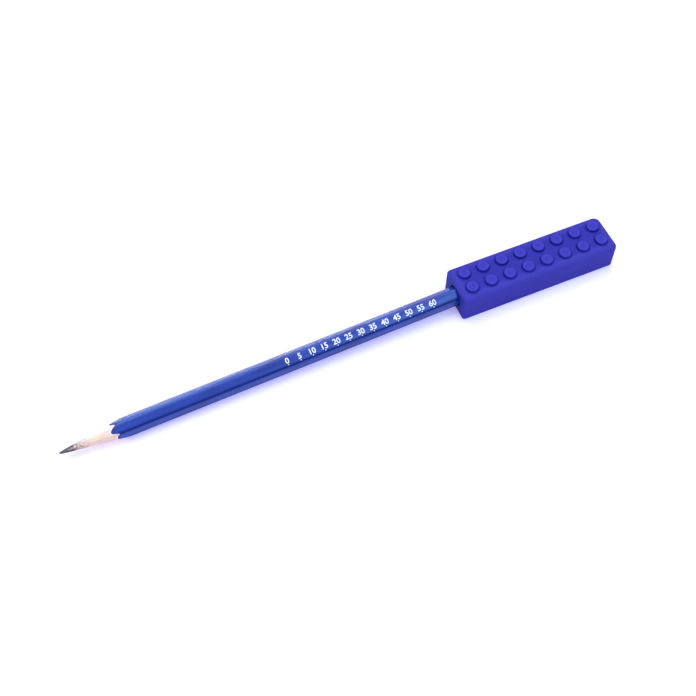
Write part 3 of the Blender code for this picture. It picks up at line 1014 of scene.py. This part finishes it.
def make_coat():
    """Lacquer over the barrel: a thin hexagonal tube that shows two layers where the sharpener cut it."""
    angles = barrel_angles(FACET_ANGLE / 2, FACET_COUNT)
    shares = steps(0.0, 1.0, BARREL_STEPS)
    outside = [coat_ring(angles, 0.0, share) for share in shares]
    inside = [coat_ring(angles, LACQUER_THICKNESS, share) for share in reversed(shares)]
    layer = coat_ring(angles, LACQUER_TOP_COAT, 0.0)
    bm = bmesh.new()
    add_rows(bm, outside + inside)
    add_rows(bm, [inside[-1], layer], material=2)
    add_rows(bm, [layer, outside[0]], material=1)
    materials = [
        lacquer_material(),
        cut_lacquer_material("lacquer_cut", CUT_LACQUER),
        cut_lacquer_material("primer_cut", CUT_PRIMER),
    ]
    piece = add_piece("lacquer_finish", bm, materials, "pencil", PENCIL_PLACE)
    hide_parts("lacquer_coat")


def slat_row(angle):
    """Lengthwise outline of the wood at one angle: cone, barrel, tenon and groove."""
    barrel = hexagon_radius(angle, WOOD_DEPTH)
    groove = LEAD_RADIUS + FIT_GAP
    tenon = min(PLUG_RADIUS, barrel)
    cone = [(x, cone_radius(x, angle))
            for x in steps(sharpened_x(groove, angle), sharpened_x(barrel, angle), CONE_STEPS)]
    rest = [(BARREL_END, barrel), (BARREL_END, tenon), (TENON_END, tenon), (TENON_END, groove)]
    return [around_axis(x, radius, angle) for x, radius in cone + rest]


def make_slat(name, node, start, material):
    """One grooved half of the casing, set half a glue line off the seam."""
    angles = barrel_angles(start, FACET_COUNT // 2) + [start + math.pi]
    bm = bmesh.new()
    rows = add_rows(bm, [slat_row(angle) for angle in angles])
    bm.faces.new(rows[0])
    bm.faces.new(rows[-1])
    off_seam = Matrix.Translation(around_axis(0.0, GLUE_LINE / 2, start + math.pi / 2))
    bmesh.ops.transform(bm, matrix=off_seam, verts=bm.verts)
    piece = add_piece(name, bm, [material], "pencil", PENCIL_PLACE)
    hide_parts(node)


def make_casing():
    """Both halves of the casing; the lower one, which faces down, is coloured a little rosier and darker than
    the upper one.
    """
    upper_wood = wood_material("wood_cream", CREAM_WOOD)
    make_slat("upper_slat", "casing_slat_upper", SEAM_ANGLE - math.pi, upper_wood)
    lower_wood = wood_material("wood_rosy", ROSY_WOOD)
    make_slat("lower_slat", "casing_slat_lower", SEAM_ANGLE, lower_wood)


def lead_ring(share):
    """Ring of the lead's cone between the rounded tip, at share 0, and the full rod, at share 1."""
    tip = POINT_DIAMETER / 2
    ring = []
    for angle in full_turn(TURNED_SIDES):
        x = tip + (sharpened_x(LEAD_RADIUS, angle) - tip) * share
        ring.append(around_axis(x, cone_radius(x, angle), angle))
    return ring


def make_lead():
    """Graphite rod with a sharpened cone and a worn, rounded tip."""
    tip = POINT_DIAMETER / 2
    rings = turned_rows(fillet(tip, 0.0, tip, 180.0, 90.0 + POINT_ROUND_END)[1:])
    rings += [lead_ring(share) for share in steps(0.0, 1.0, CONE_STEPS)]
    rings += turned_rows([(TENON_END, LEAD_RADIUS)])
    bm = bmesh.new()
    rows = add_rows(bm, rings)
    add_fan(bm, rows[0], Vector((0.0, 0.0, 0.0)))
    add_fan(bm, rows[-1], Vector((TENON_END, 0.0, 0.0)))
    piece = add_piece("lead_core", bm, [graphite_material()], "pencil", PENCIL_PLACE)
    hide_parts("graphite_lead")


def bead(centre):
    """One raised bead of the ferrule as (x, radius) pairs."""
    pairs = []
    for angle in steps(0.0, math.pi, 2 * FILLET_STEPS):
        lift = FERRULE_BEAD_HEIGHT * math.sin(angle) ** 2
        pairs.append((centre - FERRULE_BEAD_WIDTH / 2 * math.cos(angle), FERRULE_RADIUS + lift))
    return pairs


def plain(pairs):
    """Stretch of the ferrule without flutes, as (x, radius, flute depth) rows."""
    return [(x, radius, 0.0) for x, radius in pairs]


def fluted(start, end):
    """Stretch of the ferrule that is pressed into shallow flutes, as (x, radius, flute depth) rows."""
    rows = []
    for share in steps(0.0, 1.0, 2 * FILLET_STEPS):
        depth = FERRULE_FLUTE_DEPTH * math.sin(math.pi * share) ** 0.5
        rows.append((start + (end - start) * share, FERRULE_RADIUS, depth))
    return rows


def ferrule_outline():
    """The ferrule's outside from end to end: two beads, with a fluted band on either side of them."""
    lip = FERRULE_WALL / 2
    first_end = fillet(FERRULE_START + lip, FERRULE_RADIUS - lip, lip, 270.0, 90.0)
    last_end = fillet(FERRULE_END - lip, FERRULE_RADIUS - lip, lip, 90.0, -90.0)
    beads = bead(TENON_END - FERRULE_BEAD_PITCH / 2) + bead(TENON_END + FERRULE_BEAD_PITCH / 2)
    first_band = fluted(FERRULE_START + FERRULE_FLUTE_MARGIN, beads[0][0] - FERRULE_FLUTE_MARGIN)
    last_band = fluted(beads[-1][0] + FERRULE_FLUTE_MARGIN, FERRULE_END - FERRULE_FLUTE_MARGIN)
    return plain(first_end) + first_band + plain(beads) + last_band + plain(last_end)


def fluted_ring(x, radius, depth):
    """Ring of the ferrule, pressed in to a depth at its flutes."""
    ring = []
    for angle in full_turn(FERRULE_FLUTES * SIDES_PER_FLUTE):
        press = depth * (0.5 - 0.5 * math.cos(FERRULE_FLUTES * angle))
        ring.append(around_axis(x, radius - press, angle))
    return ring


def make_ferrule():
    """Thin metal sleeve, closed along its inside."""
    bm = bmesh.new()
    rows = add_rows(bm, [fluted_ring(*row) for row in ferrule_outline()])
    add_strip(bm, rows[-1], rows[0])
    piece = add_piece("ferrule_sleeve", bm, [aluminium_material()], "pencil", PENCIL_PLACE)
    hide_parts("ferrule")


def make_eraser():
    """Rubber plug with a rounded edge around its free end."""
    flat = PLUG_RADIUS - ERASER_EDGE_RADIUS
    start = TENON_END + FIT_GAP
    edge = fillet(PENCIL_LENGTH - ERASER_EDGE_RADIUS, flat, ERASER_EDGE_RADIUS, 90.0, 0.0)
    shaft = [(x, PLUG_RADIUS) for x in steps(start, edge[0][0], CONE_STEPS)[:-1]]
    face = [(PENCIL_LENGTH, flat * share) for share in FACE_SHARES]
    bm = bmesh.new()
    rows = add_rows(bm, turned_rows(shaft + edge + face))
    add_fan(bm, rows[0], Vector((start, 0.0, 0.0)))
    add_fan(bm, rows[-1], Vector((PENCIL_LENGTH, 0.0, 0.0)))
    piece = add_piece("eraser_plug", bm, [eraser_material()], "pencil", PENCIL_PLACE)
    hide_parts("eraser")


# Printed scale

def facet_matrix():
    """From flat artwork, with X along the pencil and Y up the facet, to the front facet's surface."""
    outward = around_axis(0.0, 1.0, FRONT_FACET_ANGLE)
    along = Vector((1.0, 0.0, 0.0))
    up = outward.cross(along)
    base = outward * (COAT_FLAT + FOIL_THICKNESS / 2)
    columns = Matrix((along, up, outward)).transposed().to_4x4()
    return Matrix.Translation(base) @ columns


def add_tick(bm, x):
    """Short line of the scale below one numeral."""
    place = Matrix.Translation((x, TICK_FOOT + TICK_LENGTH / 2, FOIL_THICKNESS / 2))
    size = Matrix.Diagonal((TICK_WIDTH, TICK_LENGTH, FOIL_THICKNESS, 1.0))
    bmesh.ops.create_cube(bm, size=1.0, matrix=place @ size)


def add_numeral(bm, number, x):
    """One plain numeral above its line."""
    curve = bpy.data.curves.new("numeral", "FONT")
    curve.body = str(number)
    curve.align_x = "CENTER"
    curve.size = NUMERAL_HEIGHT / NUMERAL_SHARE
    curve.extrude = FOIL_THICKNESS / 2
    curve.offset = NUMERAL_THICKENING
    text = add_object("numeral", curve)
    shape = bpy.data.meshes.new_from_object(text.evaluated_get(bpy.context.evaluated_depsgraph_get()))
    shape.transform(Matrix.Translation((x, NUMERAL_FOOT, FOIL_THICKNESS / 2)))
    bm.from_mesh(shape)
    bpy.data.objects.remove(text)
    bpy.data.meshes.remove(shape)
    bpy.data.curves.remove(curve)


def wrap_on_facet(bm):
    """Cut flat artwork into narrow bands and lay them over the facet's wide arc."""
    for y in steps(-COAT_FLAT / 2, COAT_FLAT / 2, FACET_STEPS):
        everything = bm.verts[:] + bm.edges[:] + bm.faces[:]
        bmesh.ops.bisect_plane(bm, geom=everything, plane_co=(0.0, y, 0.0), plane_no=(0.0, 1.0, 0.0))
    for vertex in bm.verts:
        vertex.co.z -= BARREL_FACET_RADIUS - math.sqrt(BARREL_FACET_RADIUS ** 2 - vertex.co.y ** 2)


def make_scale():
    """Plain scale stamped on the front facet, numbered in millimetres."""
    bm = bmesh.new()
    for mark in range(SCALE_MARKS):
        distance = mark * SCALE_PITCH
        add_tick(bm, SCALE_START + distance)
        add_numeral(bm, round(distance / SCALE_UNIT), SCALE_START + distance)
    wrap_on_facet(bm)
    add_piece("foil_scale", bm, [foil_material()], "pencil", PENCIL_PLACE @ facet_matrix())


# Studio

def stand_back(thing, target, back, distance):
    """Put a camera or light at a distance from its target, turned towards it."""
    thing.location = target + back * distance
    thing.rotation_euler = (-back).to_track_quat("-Z", "Y").to_euler()


def make_camera():
    """Camera at the photograph's viewing angle, with colours shown plainly."""
    azimuth = math.radians(CAMERA_AZIMUTH)
    elevation = math.radians(CAMERA_ELEVATION)
    level = math.cos(elevation)
    back = Vector((math.sin(azimuth) * level, -math.cos(azimuth) * level, math.sin(elevation)))
    data = bpy.data.cameras.new("camera")
    data.lens = CAMERA_LENS
    data.sensor_width = CAMERA_SENSOR
    camera = add_object("camera", data)
    stand_back(camera, CAMERA_AIM, back, CAMERA_DISTANCE)
    bpy.context.scene.camera = camera
    bpy.context.scene.view_settings.view_transform = "Standard"


def make_floor():
    """White table under the object."""
    bm = bmesh.new()
    bmesh.ops.create_grid(bm, x_segments=1, y_segments=1, size=FLOOR_SIZE / 2)
    mesh = bpy.data.meshes.new("floor")
    bm.to_mesh(mesh)
    bm.free()
    mesh.materials.append(floor_material())
    floor = add_object("floor", mesh)
    floor.location.z = -FLOOR_DROP


def make_surroundings():
    """Pale blue surroundings, darker towards the horizon, with a plain pale backdrop where they are seen."""
    world = bpy.data.worlds.new("studio")
    world.use_nodes = True
    tree = world.node_tree
    direction = add_node(tree, "ShaderNodeTexCoord", {}).outputs["Generated"]
    upward = add_node(tree, "ShaderNodeSeparateXYZ", {"Vector": direction}).outputs["Z"]
    sky = tree.nodes["Background"]
    set_inputs(tree, sky, {"Color": SKY_COLOUR, "Strength": remap(tree, upward, *SKY_RISE, *SKY_STRENGTH)})
    backdrop = add_node(tree, "ShaderNodeBackground", {"Color": BACKDROP_COLOUR})
    seen = add_node(tree, "ShaderNodeLightPath", {}).outputs["Is Camera Ray"]
    both = add_node(tree, "ShaderNodeMixShader", {0: seen, 1: sky.outputs[0], 2: backdrop.outputs[0]})
    set_inputs(tree, tree.nodes["World Output"], {"Surface": both.outputs[0]})
    bpy.context.scene.world = world


def add_light(name, shape, size, power, colour):
    """Area light that isn't itself in any picture."""
    data = bpy.data.lights.new(name, "AREA")
    data.shape = shape
    data.size = size
    data.energy = power
    data.color = colour
    light = add_object(name, data)
    light.visible_camera = False
    return light


def add_softbox(name, direction, size, power, colour):
    """Square light that faces the topper's mouth from one direction."""
    light = add_light(name, "SQUARE", size, power, colour)
    stand_back(light, mouth_centre(), Vector(direction).normalized(), SOFTBOX_DISTANCE)


def add_table_wash():
    """Narrow light straight down on the table behind the pencil, which shows only in the glossy finish."""
    light = add_light("table_wash", "RECTANGLE", WASH_LENGTH, WASH_POWER, WASH_COLOUR)
    light.data.size_y = WASH_WIDTH
    light.data.spread = math.radians(WASH_SPREAD)
    light.location = WASH_PLACE


def make_lights():
    """Soft lights overhead, in front, to the right and behind, and a narrow one on the table."""
    add_softbox("overhead", (0.05, 0.30, 0.95), size=0.75, power=4.9, colour=(0.99, 0.98, 0.92))
    add_softbox("front", (-0.65, -0.62, 0.45), size=0.8, power=2.8, colour=(0.95, 0.94, 1.62))
    add_softbox("right", (0.36, -0.40, 0.85), size=0.45, power=1.35, colour=(0.55, 1.05, 2.0))
    add_softbox("back", (-0.08, 0.66, 0.72), size=0.25, power=0.5, colour=(0.7, 0.9, 1.6))
    add_table_wash()


make_camera()
make_floor()
make_surroundings()
make_lights()
make_topper()
make_coat()
make_casing()
make_lead()
make_ferrule()
make_eraser()
make_scale()
